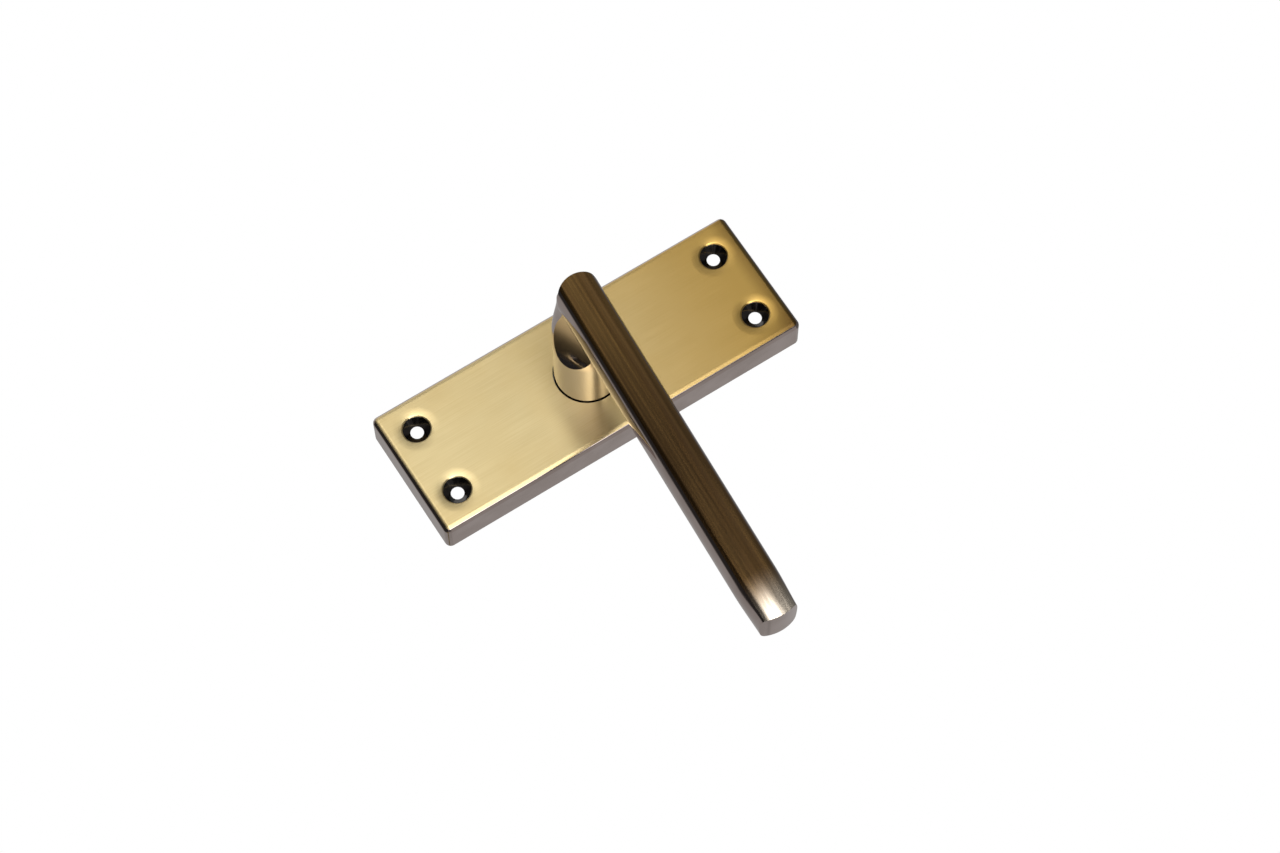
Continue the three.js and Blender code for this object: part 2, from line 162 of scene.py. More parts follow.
def addFloor():
    bm = bmesh.new()
    bmesh.ops.create_circle(bm, cap_ends=True, segments=96, radius=studio["floorRadius"])
    bmesh.ops.translate(bm, verts=bm.verts, vec=(0, 0, studio["floorHeight"]))
    mesh = bpy.data.meshes.new("studioFloor")
    bm.to_mesh(mesh)
    bm.free()
    floor = bpy.data.objects.new("studioFloor", mesh)
    scene.collection.objects.link(floor)
    material = bpy.data.materials.new("palePaper")
    material.use_nodes = True
    tree = material.node_tree
    tree.nodes.clear()
    path = node(tree, "ShaderNodeLightPath", -400, 200)
    seen = node(tree, "ShaderNodeEmission", -200, 0)
    seen.inputs["Strength"].default_value = 1.0
    glow = node(tree, "ShaderNodeEmission", -200, -150)
    glow.inputs["Strength"].default_value = studio["floorGlow"]
    mix = node(tree, "ShaderNodeMixShader", 0, 0)
    out = node(tree, "ShaderNodeOutputMaterial", 200, 0)
    tree.links.new(path.outputs["Is Camera Ray"], mix.inputs[0])
    tree.links.new(glow.outputs[0], mix.inputs[1])
    tree.links.new(seen.outputs[0], mix.inputs[2])
    tree.links.new(mix.outputs[0], out.inputs["Surface"])
    mesh.materials.append(material)


def groupTree(name, inputs, outputs):
    tree = bpy.data.node_groups.new(name, "ShaderNodeTree")
    for socketName, kind, value in inputs:
        socket = tree.interface.new_socket(socketName, in_out="INPUT", socket_type=kind)
        if value is not None:
            socket.default_value = value
    for socketName, kind in outputs:
        tree.interface.new_socket(socketName, in_out="OUTPUT", socket_type=kind)
    first = node(tree, "NodeGroupInput", -900, 0)
    last = node(tree, "NodeGroupOutput", 900, 0)
    return tree, first, last


def makeBrushGroup():
    # Fine straight scratches and broader streaks: the vector is already stretched so that they run one way.
    tree, first, last = groupTree(
        "brushLines",
        [("Vector", "NodeSocketVector", None)],
        [("Lines", "NodeSocketFloat"), ("Streaks", "NodeSocketFloat")],
    )
    fine = node(tree, "ShaderNodeTexNoise", -500, 150)
    fine.inputs["Scale"].default_value = 1.0
    fine.inputs["Detail"].default_value = 1.0
    fine.inputs["Roughness"].default_value = 0.5
    tree.links.new(first.outputs["Vector"], fine.inputs["Vector"])
    spread = node(tree, "ShaderNodeMapRange", -200, 150)
    spread.inputs["From Min"].default_value = 0.3
    spread.inputs["From Max"].default_value = 0.7
    tree.links.new(fine.outputs["Fac"], spread.inputs["Value"])
    tree.links.new(spread.outputs["Result"], last.inputs["Lines"])
    slow = node(tree, "ShaderNodeVectorMath", -700, -150, operation="SCALE")
    slow.inputs["Scale"].default_value = 0.34
    tree.links.new(first.outputs["Vector"], slow.inputs[0])
    broad = node(tree, "ShaderNodeTexNoise", -500, -150)
    broad.inputs["Scale"].default_value = 1.0
    broad.inputs["Detail"].default_value = 2.0
    tree.links.new(slow.outputs[0], broad.inputs["Vector"])
    spreadBroad = node(tree, "ShaderNodeMapRange", -200, -150)
    spreadBroad.inputs["From Min"].default_value = 0.3
    spreadBroad.inputs["From Max"].default_value = 0.7
    tree.links.new(broad.outputs["Fac"], spreadBroad.inputs["Value"])
    tree.links.new(spreadBroad.outputs["Result"], last.inputs["Streaks"])
    return tree


def makePatinaGroup():
    # Soft cloudy darkening of a lacquered finish.
    tree, first, last = groupTree(
        "patinaClouds",
        [("Vector", "NodeSocketVector", None), ("Size", "NodeSocketFloat", 60.0)],
        [("Mask", "NodeSocketFloat")],
    )
    cloud = node(tree, "ShaderNodeTexNoise", -500, 0)
    cloud.inputs["Detail"].default_value = 4.0
    cloud.inputs["Roughness"].default_value = 0.55
    tree.links.new(first.outputs["Vector"], cloud.inputs["Vector"])
    tree.links.new(first.outputs["Size"], cloud.inputs["Scale"])
    spread = node(tree, "ShaderNodeMapRange", -200, 0, interpolation_type="SMOOTHSTEP")
    spread.inputs["From Min"].default_value = 0.3
    spread.inputs["From Max"].default_value = 0.72
    tree.links.new(cloud.outputs["Fac"], spread.inputs["Value"])
    tree.links.new(spread.outputs["Result"], last.inputs["Mask"])
    return tree


brushGroup = makeBrushGroup()
patinaGroup = makePatinaGroup()


def useGroup(tree, group, x, y, vector, **values):
    made = node(tree, "ShaderNodeGroup", x, y, node_tree=group)
    tree.links.new(vector, made.inputs["Vector"])
    for name, value in values.items():
        made.inputs[name].default_value = value
    return made


def startMaterial(name, metallic, coat=0.0, coatRoughness=0.05, anisotropy=0.0, turn=0.0):
    material = bpy.data.materials.new(name)
    material.use_nodes = True
    tree = material.node_tree
    shader = tree.nodes["Principled BSDF"]
    shader.inputs["Metallic"].default_value = metallic
    shader.inputs["Coat Weight"].default_value = coat
    shader.inputs["Coat Roughness"].default_value = coatRoughness
    shader.inputs["Anisotropic"].default_value = anisotropy
    shader.inputs["Anisotropic Rotation"].default_value = turn
    return material, tree, shader


def objectVector(tree, scale=(1, 1, 1), rotation=(0, 0, 0)):
    # Turned back by the rotation first and stretched after that.
    place = node(tree, "ShaderNodeTexCoord", -1600, 0)
    mapping = node(tree, "ShaderNodeMapping", -1400, 0, vector_type="TEXTURE")
    mapping.inputs["Scale"].default_value = [1 / value for value in scale]
    mapping.inputs["Rotation"].default_value = rotation
    tree.links.new(place.outputs["Object"], mapping.inputs["Vector"])
    return mapping.outputs[0]


def mixColour(tree, x, y, factor, first, second):
    made = node(tree, "ShaderNodeMix", x, y, data_type="RGBA")
    tree.links.new(factor, made.inputs[0])
    for socket, value in zip((made.inputs[6], made.inputs[7]), (first, second)):
        if hasattr(value, "is_linked"):
            tree.links.new(value, socket)
        else:
            socket.default_value = (*value, 1)
    return made.outputs[2]


def addBump(tree, shader, height, strength, distance):
    bump = node(tree, "ShaderNodeBump", -250, -400)
    bump.inputs["Strength"].default_value = strength
    bump.inputs["Distance"].default_value = distance
    tree.links.new(height, bump.inputs["Height"])
    tree.links.new(bump.outputs[0], shader.inputs["Normal"])


plateFinish = {
    "light": (0.86, 0.74, 0.43),
    "gold": (0.73, 0.60, 0.31),
    # The brown serves both the random cloudy tone and the painted shade towards the -Z end.
    "brown": (0.60, 0.365, 0.062),
    # A near-black brown, used only as painted shade at the -Z edge and the -X -Z corner.
    "paintedEdgeShade": (0.16, 0.085, 0.02),
    "anisotropy": 0.7,
    "lineScale": (3600, 3600, 60),
    "streakShare": 0.35,
    "cloudSize": 28.0,
    "cloudShare": 0.22,
    # Painted shade: the front grows browner and darker towards the -Z end, standing in for the darker
    # surroundings it reflects there.
    "endwardShadeShare": 0.8,  # at the -Z end
    # Painted shade along the -Z edge.
    "endEdgeShadeShare": 0.7,  # at the -Z edge
    # Painted shade at the -X -Z corner.
    "cornerShadeShare": 0.75,  # at the -X -Z corner
}


# The plate's brushed brass, with painted shade towards its -Z end, along its -Z edge and at its -X -Z
# corner.
def makePlateFront():
    material, tree, shader = startMaterial("brushedAgedBrassPaintedShade", 1.0, 0.35, 0.2, plateFinish["anisotropy"])
    brush = useGroup(tree, brushGroup, -1100, 0, objectVector(tree, plateFinish["lineScale"]))
    plain = objectVector(tree)
    clouds = useGroup(tree, patinaGroup, -1100, -300, plain, Size=plateFinish["cloudSize"])
    streaks = mathNode(tree, "MULTIPLY", -900, 100, brush.outputs["Lines"], plateFinish["streakShare"])
    gold = mixColour(tree, -800, 200, streaks, plateFinish["gold"], plateFinish["light"])
    tone = mathNode(tree, "MULTIPLY", -900, -300, clouds.outputs["Mask"], plateFinish["cloudShare"])
    gold = mixColour(tree, -600, 200, tone, gold, plateFinish["brown"])
    split = node(tree, "ShaderNodeSeparateXYZ", -1100, -600)
    tree.links.new(plain, split.inputs[0])
    # Painted shade: browner and darker towards the -Z end.
    paintedShadeTowardsEnd = ramp(tree, -900, -600, split.outputs["Z"], -0.058, 0.02, plateFinish["endwardShadeShare"], 0.0)
    gold = mixColour(tree, -400, 200, paintedShadeTowardsEnd, gold, plateFinish["brown"])
    # Painted shade: dark along the -Z edge.
    end = ramp(tree, -900, -750, split.outputs["Z"], -0.0602, -0.053, plateFinish["endEdgeShadeShare"], 0.0)
    gold = mixColour(tree, -200, 200, end, gold, plateFinish["paintedEdgeShade"])
    # Painted shade: dark at the -X -Z corner.
    sideways = mathNode(tree, "MULTIPLY", -1000, -900, split.outputs["X"], -1.0)
    downwards = mathNode(tree, "MULTIPLY", -1000, -1050, split.outputs["Z"], -0.6)
    cornerward = mathNode(tree, "ADD", -850, -900, sideways, downwards)
    corner = ramp(tree, -700, -900, cornerward, 0.043, 0.057, 0.0, plateFinish["cornerShadeShare"])
    gold = mixColour(tree, 0, 200, corner, gold, plateFinish["paintedEdgeShade"])
    tree.links.new(gold, shader.inputs["Base Color"])
    rough = ramp(tree, -500, -100, brush.outputs["Lines"], 0.0, 1.0, 0.31, 0.36)
    tree.links.new(rough, shader.inputs["Roughness"])
    addBump(tree, shader, brush.outputs["Lines"], 0.05, 0.00004)
    return material


polishFinish = {
    "bronze": (0.56, 0.475, 0.45),
    "shade": (0.46, 0.38, 0.35),
    # Painted shade: a darker, greyer bronze for the neck near the plate, standing in for its darker
    # reflections there.
    "neck": (0.40, 0.365, 0.37),
    "recess": (0.05, 0.046, 0.044),
    "recessShade": (0.03, 0.028, 0.027),
}


def makePolished(name, bronze, shade, low=0.05, high=0.12, neck=None):
    material, tree, shader = startMaterial(name, 1.0, 0.3, 0.03)
    plain = objectVector(tree)
    clouds = useGroup(tree, patinaGroup, -1100, 0, plain, Size=90.0)
    colour = mixColour(tree, -600, 200, clouds.outputs["Mask"], bronze, shade)
    # Painted shade: the lever's bronze turns darker and greyer where the neck stands near the plate.
    if neck:  # greyer where the neck stands near the plate
        split = node(tree, "ShaderNodeSeparateXYZ", -1000, 500)
        tree.links.new(plain, split.inputs[0])
        shadeNearPlate = ramp(tree, -800, 500, split.outputs["Y"], -0.037, -0.031)
        colour = mixColour(tree, -400, 300, shadeNearPlate, colour, neck)
    tree.links.new(colour, shader.inputs["Base Color"])
    rough = ramp(tree, -600, -100, clouds.outputs["Mask"], 0.0, 1.0, low, high)
    tree.links.new(rough, shader.inputs["Roughness"])
    grain = node(tree, "ShaderNodeTexNoise", -800, -400)
    grain.inputs["Scale"].default_value = 900.0
    tree.links.new(plain, grain.inputs["Vector"])
    addBump(tree, shader, grain.outputs["Fac"], 0.02, 0.00002)
    return material


# The lever front's own browner finish together with painted shade: the same brass as the plate, given dark
# brown colours standing in for the dark surroundings its front reflects.
gripFinish = {
    "light": (0.62, 0.37, 0.12),
    "brown": (0.28, 0.155, 0.05),
    # The dark serves both the random cloudy tone and the painted shade away from the head.
    "dark": (0.16, 0.09, 0.04),
    # Painted highlight: a pale cream for the last stretch before the tip, standing in for the bright
    # reflection there.
    "paintedTipHighlight": (0.92, 0.84, 0.71),
    "anisotropy": 0.85,
    "lineScale": (25, 1500, 1500),
    # Painted shade far from the head.
    "farShadeShare": 0.55,  # far from the head
    "cloudShare": 0.35,
    # Painted highlight at the tip.
    "tipHighlightShare": 0.85,  # at the tip
}


# The lever front's brushed bronze, darker than the plate partly as its finish and partly as painted shade,
# with painted shade away from the head and a painted highlight at the tip.
def makeGripFront():
    anisotropy = gripFinish["anisotropy"]
    material, tree, shader = startMaterial("brushedDarkBronzePaintedLight", 1.0, 0.3, 0.12, anisotropy, 0.25)
    along = objectVector(tree, gripFinish["lineScale"], (0, restTilt, 0))
    brush = useGroup(tree, brushGroup, -1100, 0, along)
    plain = objectVector(tree)
    clouds = useGroup(tree, patinaGroup, -1100, -300, plain, Size=40.0)
    colour = mixColour(tree, -800, 200, brush.outputs["Streaks"], gripFinish["brown"], gripFinish["light"])
    split = node(tree, "ShaderNodeSeparateXYZ", -1100, -600)
    tree.links.new(plain, split.inputs[0])
    # Painted shade: darker away from the head; the cloudy tone taken with it is random.
    paintedShadeFarFromHead = ramp(tree, -900, -600, split.outputs["X"], -0.060, 0.004, gripFinish["farShadeShare"], 0.0)
    tone = mathNode(tree, "MULTIPLY", -900, -300, clouds.outputs["Mask"], gripFinish["cloudShare"])
    tone = mathNode(tree, "MAXIMUM", -800, -450, tone, paintedShadeFarFromHead)
    colour = mixColour(tree, -600, 200, tone, colour, gripFinish["dark"])
    # Painted highlight: pale cream over the last stretch before the tip.
    paintedTipHighlight = ramp(tree, -900, -800, split.outputs["X"], -0.1060, -0.092, gripFinish["tipHighlightShare"], 0.0)
    colour = mixColour(tree, -400, 200, paintedTipHighlight, colour, gripFinish["paintedTipHighlight"])
    tree.links.new(colour, shader.inputs["Base Color"])
    rough = ramp(tree, -500, -100, brush.outputs["Lines"], 0.0, 1.0, 0.16, 0.26)
    tree.links.new(rough, shader.inputs["Roughness"])
    addBump(tree, shader, brush.outputs["Lines"], 0.12, 0.00004)
    return material


# The inner pieces: colour, darker colour, lowest and highest roughness, metallic, grain's depth and scale.
innerFinish = {
    "castInside": ((0.36, 0.27, 0.15), (0.30, 0.22, 0.12), 0.45, 0.6, 1.0, 0.3, 2500.0),
    "castZinc": ((0.52, 0.53, 0.54), (0.45, 0.46, 0.47), 0.38, 0.55, 1.0, 0.25, 2500.0),
    "platedSteel": ((0.68, 0.68, 0.66), (0.60, 0.60, 0.58), 0.22, 0.34, 1.0, 0.1, 1500.0),
    "springSteel": ((0.30, 0.30, 0.31), (0.20, 0.20, 0.21), 0.25, 0.4, 1.0, 0.1, 1500.0),
    "blackNylon": ((0.03, 0.03, 0.03), (0.045, 0.045, 0.045), 0.45, 0.6, 0.0, 0.1, 1500.0),
}


def makeInner(name):
    light, dark, low, high, metallic, bump, grainScale = innerFinish[name]
    material, tree, shader = startMaterial(name, metallic)
    plain = objectVector(tree)
    clouds = useGroup(tree, patinaGroup, -1100, 0, plain, Size=420.0)
    colour = mixColour(tree, -600, 200, clouds.outputs["Mask"], light, dark)
    tree.links.new(colour, shader.inputs["Base Color"])
    rough = ramp(tree, -600, -100, clouds.outputs["Mask"], 0.0, 1.0, low, high)
    tree.links.new(rough, shader.inputs["Roughness"])
    grain = node(tree, "ShaderNodeTexNoise", -800, -400)
    grain.inputs["Scale"].default_value = grainScale
    tree.links.new(plain, grain.inputs["Vector"])
    addBump(tree, shader, grain.outputs["Fac"], bump, 0.00005)
    return material


# From here shapes are in millimetres, in the handle's own frame, until finishPiece shrinks them.
def link(name, bm):
    mesh = bpy.data.meshes.new(name)
    bm.to_mesh(mesh)
    bm.free()
    obj = bpy.data.objects.new(name, mesh)
    scene.collection.objects.link(obj)
    return obj


def settle(obj):
    # The modifiers' result becomes the mesh itself, with its doubles merged.
    bpy.context.view_layer.update()
    graph = bpy.context.evaluated_depsgraph_get()
    mesh = bpy.data.meshes.new_from_object(obj.evaluated_get(graph))
    bm = bmesh.new()
    bm.from_mesh(mesh)
    bmesh.ops.remove_doubles(bm, verts=bm.verts, dist=0.0005)
    bm.to_mesh(mesh)
    bm.free()
    obj.modifiers.clear()
    obj.data = mesh
    return obj


def boolean(obj, other, operation):
    modifier = obj.modifiers.new(operation, "BOOLEAN")
    modifier.operation = operation
    modifier.solver = "EXACT"
    modifier.object = other
    settle(obj)
    bpy.data.objects.remove(other)
    return obj


def ringLoft(name, segments, heights, place):
    # A tube of rings from the first height to the last, closed at both ends, with each point put by place.
    bm = bmesh.new()
    made = bmesh.ops.create_circle(bm, cap_ends=False, segments=segments, radius=1)
    rings = [made["verts"]]
    edges = list(bm.edges)
    for _ in heights[1:]:
        grown = bmesh.ops.extrude_edge_only(bm, edges=edges)["geom"]
        edges = [item for item in grown if isinstance(item, bmesh.types.BMEdge) and item.is_boundary]
        rings.append([item for item in grown if isinstance(item, bmesh.types.BMVert)])
    for ring, height in zip(rings, heights):
        for vert in ring:
            vert.co = Vector(place(math.atan2(vert.co.y, vert.co.x), height))
    bmesh.ops.holes_fill(bm, edges=bm.edges)
    bmesh.ops.recalc_face_normals(bm, faces=bm.faces)
    return link(name, bm)


def prism(name, points, axis, low, high):
    # A flat outline pushed along X, Y or Z; the outline's two numbers are the other two axes in order.
    bm = bmesh.new()
    others = [i for i in range(3) if i != axis]
    verts = []
    for a, b in points:
        co = [0, 0, 0]
        co[axis] = low
        co[others[0]] = a
        co[others[1]] = b
        verts.append(bm.verts.new(co))
    face = bm.faces.new(verts)
    grown = bmesh.ops.extrude_face_region(bm, geom=[face])["geom"]
    push = [0, 0, 0]
    push[axis] = high - low
    moved = [item for item in grown if isinstance(item, bmesh.types.BMVert)]
    bmesh.ops.translate(bm, verts=moved, vec=push)
    bmesh.ops.recalc_face_normals(bm, faces=bm.faces)
    return link(name, bm)


def turned(name, profile, segments, middle=(0, 0)):
    # A profile of (radius, height above the door) pairs spun round.
    # It starts and ends on the axis or closes on itself.
    bm = bmesh.new()
    verts = [bm.verts.new((radius, -height, 0)) for radius, height in profile]
    edges = [bm.edges.new(pair) for pair in zip(verts, verts[1:])]
    if profile[0][0] > 0:
        edges.append(bm.edges.new((verts[-1], verts[0])))
    bmesh.ops.spin(
        bm,
        geom=verts + edges,
        cent=(0, 0, 0),
        axis=(0, 1, 0),
        angle=2 * math.pi,
        steps=segments,
        use_merge=True,
    )
    bmesh.ops.remove_doubles(bm, verts=bm.verts, dist=1e-4)
    bmesh.ops.recalc_face_normals(bm, faces=bm.faces)
    bmesh.ops.translate(bm, verts=bm.verts, vec=(middle[0], 0, middle[1]))
    return link(name, bm)


def markSharp(mesh, degrees):
    bm = bmesh.new()
    bm.from_mesh(mesh)
    limit = math.radians(degrees)
    for face in bm.faces:
        face.smooth = True
    for edge in bm.edges:
        edge.smooth = len(edge.link_faces) == 2 and edge.calc_face_angle(0) < limit
    bm.to_mesh(mesh)
    bm.free()


def finishPiece(obj, body, replaced, materials, pick=None, turn=None, sharp=28):
    mesh = obj.data
    mesh.materials.clear()
    for material in materials:
        mesh.materials.append(material)
    for face in mesh.polygons:
        face.material_index = pick(face) if pick else 0
    markSharp(mesh, sharp)
    if turn is not None:
        mesh.transform(turn)
    mesh.transform(Matrix.Scale(millimetre, 4))
    mesh.update()
    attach(obj, body)
    if replaced:
        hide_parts(*replaced)
    bm = bmesh.new()
    bm.from_mesh(mesh)
    openEdges = sum(not edge.is_manifold for edge in bm.edges)
    bm.free()
    print("finished", obj.name, len(mesh.polygons), "faces,", openEdges, "open edges")
    return obj


def arc(middle, radius, start, end, steps):
    return [
        (
            middle[0] + radius * math.cos(math.radians(start + (end - start) * i / steps)),
            middle[1] + radius * math.sin(math.radians(start + (end - start) * i / steps)),
        )
        for i in range(steps + 1)
    ]


def smoothstep(value, low, high):
    share = min(max((value - low) / (high - low), 0), 1)
    return share * share * (3 - 2 * share)


plateShape = {
    "length": 120,
    "width": 41.8,
    "depth": 11.4,
    "wall": 1.4,
    "edge": 1.9,
    "opening": 9.95,
    "holeAcross": 11.05,
    "holeAlong": 50.5,
    "hole": 1.95,
    "cone": 3.85,
    "lip": 4.5,
    "dimple": 7.5,
    "dimpleDepth": 0.13,
    "lipDrop": 0.4,
    "bossRadius": 5.0,
    "bossLow": 8.5,
    "postAcross": 13,
    "postAlong": 24,
    "postHole": 1.15,
    "postRadius": 2.6,
    "postLow": 7.1,
    "root": 0.4,  # how far a post reaches into the plate
}


def screwHoleCutter(x, z):
    # A through hole, a cone, a rounded lip and a wide shallow dimple.
    s = plateShape
    face = s["depth"]
    floor = face - s["dimpleDepth"]
    rim = floor - s["lipDrop"]
    profile = [(0, 6), (s["hole"], 6), (s["hole"], rim - (s["cone"] - s["hole"]) - 0.2)]
    steps = 8
    for i in range(steps + 1):
        share = i / steps
        lift = math.sin(share * math.pi / 2) ** 1.3
        profile.append((s["cone"] + (s["lip"] - s["cone"]) * share, rim + (floor - rim) * lift))
    steps = 14
    for i in range(1, steps + 1):
        share = i / steps
        rise = s["dimpleDepth"] * (1 - (1 - share) ** 2.5) + 0.004 * share
        profile.append((s["lip"] + (s["dimple"] - s["lip"]) * share, floor + rise))
    profile += [(s["dimple"], face + 1), (0, face + 1)]
    return turned("holeCutter", profile, 72, (x, z))


def buildBackplate():
    s = plateShape
    bm = bmesh.new()
    bmesh.ops.create_cube(bm, size=1)
    bmesh.ops.scale(bm, verts=bm.verts, vec=(s["width"], s["depth"], s["length"]))
    bmesh.ops.translate(bm, verts=bm.verts, vec=(0, -s["depth"] / 2, 0))
    rounded = [e for e in bm.edges if any(v.co.y < -1 for v in e.verts)]
    bevel = {"affect": "EDGES", "profile": 0.5, "material": -1}
    bmesh.ops.bevel(bm, geom=rounded, offset=s["edge"], segments=10, **bevel)
    plate = link("backplateCasting", bm)
    inner = s["depth"] - s["wall"]
    bm = bmesh.new()
    bmesh.ops.create_cube(bm, size=1)
    hollow = (s["width"] - 2 * s["wall"], 2 * inner, s["length"] - 2 * s["wall"])
    bmesh.ops.scale(bm, verts=bm.verts, vec=hollow)
    upright = [e for e in bm.edges if abs(e.verts[0].co.y - e.verts[1].co.y) > 1]
    bmesh.ops.bevel(bm, geom=upright, offset=1, segments=5, **bevel)
    boolean(plate, link("hollow", bm), "DIFFERENCE")
    for sx in (1, -1):
        for sz in (1, -1):
            x, z = sx * s["holeAcross"], sz * s["holeAlong"]
            reach, low, high = s["bossRadius"], s["bossLow"], inner + 0.5
            boss = [(0, low), (reach, low), (reach, high), (0, high)]
            boolean(plate, turned("boss", boss, 48, (x, z)), "UNION")
            boolean(plate, screwHoleCutter(x, z), "DIFFERENCE")
            bore, reach, low = s["postHole"], s["postRadius"], s["postLow"]
            post = [(bore, low), (reach, low), (reach, inner + s["root"]), (bore, inner - s["root"])]
            place = (sx * s["postAcross"], sz * s["postAlong"])
            boolean(plate, turned("post", post, 32, place), "UNION")
    opening = [(0, 5), (s["opening"], 5), (s["opening"], 12.5), (0, 12.5)]
    boolean(plate, turned("opening", opening, 128), "DIFFERENCE")

    def pick(face):
        front, rim, recess, inside = range(4)
        x, y, z = face.center
        if face.normal.y > 0.5 and y < -1:
            return inside
        fromHole = math.hypot(abs(x) - s["holeAcross"], abs(z) - s["holeAlong"])
        inCone = y < -s["bossLow"] - 0.1 and fromHole < s["cone"] + 0.15
        if inCone and abs(face.normal.y) < 0.99:
            return recess
        if face.normal.y < -0.8 or (y < -10 and fromHole < s["dimple"]):
            return front
        withinWalls = abs(x) < s["width"] / 2 - 0.4 and abs(z) < s["length"] / 2 - 0.5
        if y > -inner - 0.3 and withinWalls and math.hypot(x, z) > 1:
            return inside
        return rim

    weighted = plate.modifiers.new("weights", "WEIGHTED_NORMAL")
    weighted.keep_sharp = True
    slots = [plateFront, polished, holeBlack, insideCast]
    return finishPiece(plate, "mounting", ["backplate"], slots, pick, sharp=35)


gripShape = {
    "front": 62.7,
    "crown": 0.75,
    "halfFront": 4.75,
    "edge": 1.3,
    "sideRadius": 13.53,
    "sideLean": 30,
    "depth": 12.3,
    "backRadius": 2.0,
    "headEnd": 6.82,
    "headRadius": 8.5,
    "headHalf": 4.5,
    "headCorner": 6.5,
    "headSide": 6.9,
    "tipEnd": 106.95,
    "tipRadius": 11.5,
    "tipDraw": 0.48,
    "fall": 0.52,
    "fallLength": 16.0,
    "slices": [*range(-110, -92), -80, -60, -40, -20, -8, 0, 5],
    "beside": 7.6,  # clear of the widest part of the section
}
neckShape = {
    "radius": 9.63,
    "shoulder": 7.6,
    "waistStart": 32,
    "waistEnd": 57.5,
    "top": 60.5,
    "endReach": 6.7,
    "halfWidth": 6.42,
    "scoopFacing": 116,
    "scoopBottom": 32.3,
    "scoopTop": 50.5,
    "scoopTopReach": 5.4,
    "grubHeight": 20,
    "grubHole": 2.5,
    "socket": 8.4,
    "socketTop": 32,
}
# The tail's radius and height above the door, up to the circlip's groove and on from it.
tailProfile = [(0, 0.9), (6.4, 0.9), (6.9, 1.3), (6.9, 1.9), (6.5, 1.9)]
tailProfile += [(6.5, 3), (7, 3), (7.2, 5.2), (7.2, 8), (0, 8)]


def gripSection():
    g = gripShape
    lean = math.radians(g["sideLean"])
    cs = g["halfFront"] - g["sideRadius"] * math.cos(lean)
    ch = g["front"] - g["sideRadius"] * math.sin(lean)
    back = g["front"] - g["depth"]
    tuck = -math.degrees(math.asin((ch - back - g["backRadius"]) / g["sideRadius"]))
    half = []  # from the middle of the crown round to the middle of the back, on the +Z side
    steps = 12
    last = g["halfFront"] - g["edge"]
    for i in range(steps + 1):
        s = last * i / steps
        half.append((s, g["front"] + g["crown"] * (1 - (s / g["halfFront"]) ** 2)))
    below = lean - g["edge"] / g["sideRadius"]
    side = [
        (cs + g["sideRadius"] * math.cos(a), ch + g["sideRadius"] * math.sin(a))
        for a in [below + (math.radians(tuck) - below) * i / 28 for i in range(29)]
    ]
    crownEnd = Vector(half[-1])
    edge = Vector((g["halfFront"], g["front"]))
    sideStart = Vector(side[0])
    for i in range(1, 10):  # the long edge is softly rounded
        t = i / 10
        half.append(tuple((1 - t) ** 2 * crownEnd + 2 * (1 - t) * t * edge + t * t * sideStart))
    half += side
    edgeS = half[-1][0]
    half += arc((edgeS - g["backRadius"], back + g["backRadius"]), g["backRadius"], -12, -90, 8)
    section = half + [(-s, h) for s, h in reversed(half)]
    cleaned = []
    for point in section:
        if not cleaned or math.dist(point, cleaned[-1]) > 0.02:
            cleaned.append(point)
    if math.dist(cleaned[0], cleaned[-1]) < 0.02:
        cleaned.pop()
    return [(-h, s) for s, h in cleaned]


def endArc(end, radius, half, steps=24):
    # One end of the grip seen from the front, from -half to half.
    across = [half * (2 * i / steps - 1) for i in range(steps + 1)]
    return [(end - (radius - math.sqrt(radius**2 - s * s)), s) for s in across]


def gripOutline():
    # Both ends are shallow arcs; the head's arc turns into the sides with a soft corner.
    g = gripShape
    head = endArc(g["headEnd"], g["headRadius"], g["headHalf"])
    hx, hs = head[-1]
    corner = []
    for i in range(1, 9):
        t = i / 8
        corner.append((
            (1 - t) ** 2 * hx + 2 * (1 - t) * t * (hx - 1.1) + t * t * (hx - 3.4),
            (1 - t) ** 2 * hs + 2 * (1 - t) * t * g["headCorner"] + t * t * g["headSide"],
        ))
    corner.append((corner[-1][0] - 1, g["beside"]))
    tip = endArc(g["tipEnd"], g["tipRadius"], g["beside"])
    return head + corner + [(-x, s) for x, s in reversed(tip)] + [(x, -s) for x, s in reversed(corner)]


def neckPlace(angle, height):
    n = neckShape
    c, s = math.cos(angle), math.sin(angle)
    share = smoothstep(height, n["waistStart"], n["waistEnd"])
    reach = n["radius"] + ((n["endReach"] if c > 0 else n["radius"] - 0.2) - n["radius"]) * share
    half = n["radius"] + (n["halfWidth"] - n["radius"]) * share
    over = max(height - n["waistEnd"], 0) / (n["top"] - n["waistEnd"])
    reach -= 0.5 * over
    half -= 1.0 * over
    power = 2 + 2.5 * share
    size = ((abs(c) / reach) ** power + (abs(s) / half) ** power) ** (-1 / power)
    return (size * c, -height, size * s)


def facetCutter(side):
    # A long shallow scoop that starts with a crease on the round neck and runs out flat at the grip.
    n = neckShape
    depth = n["radius"] + 0.05 - n["scoopTopReach"]
    run = n["scoopTop"] - n["scoopBottom"]
    radius = (run * run + depth * depth) / (2 * depth)
    steps = 28
    outside = n["radius"] + 4
    sweep = math.asin(run / radius)
    points = [(outside, n["scoopTop"] - radius * math.sin(sweep * 1.12))]
    for i in range(-3, steps + 1):
        angle = sweep * (1 - i / steps)
        reach = n["scoopTopReach"] + radius * (1 - math.cos(angle))
        points.append((reach, n["scoopTop"] - radius * math.sin(angle)))
    points += [(n["scoopTopReach"], 66), (outside, 66)]
    cutter = prism("facetCutter", [(x, -h) for x, h in points], 2, -14, 14)
    cutter.data.transform(Matrix.Rotation(-math.radians(side * n["scoopFacing"]), 4, "Y"))
    return cutter


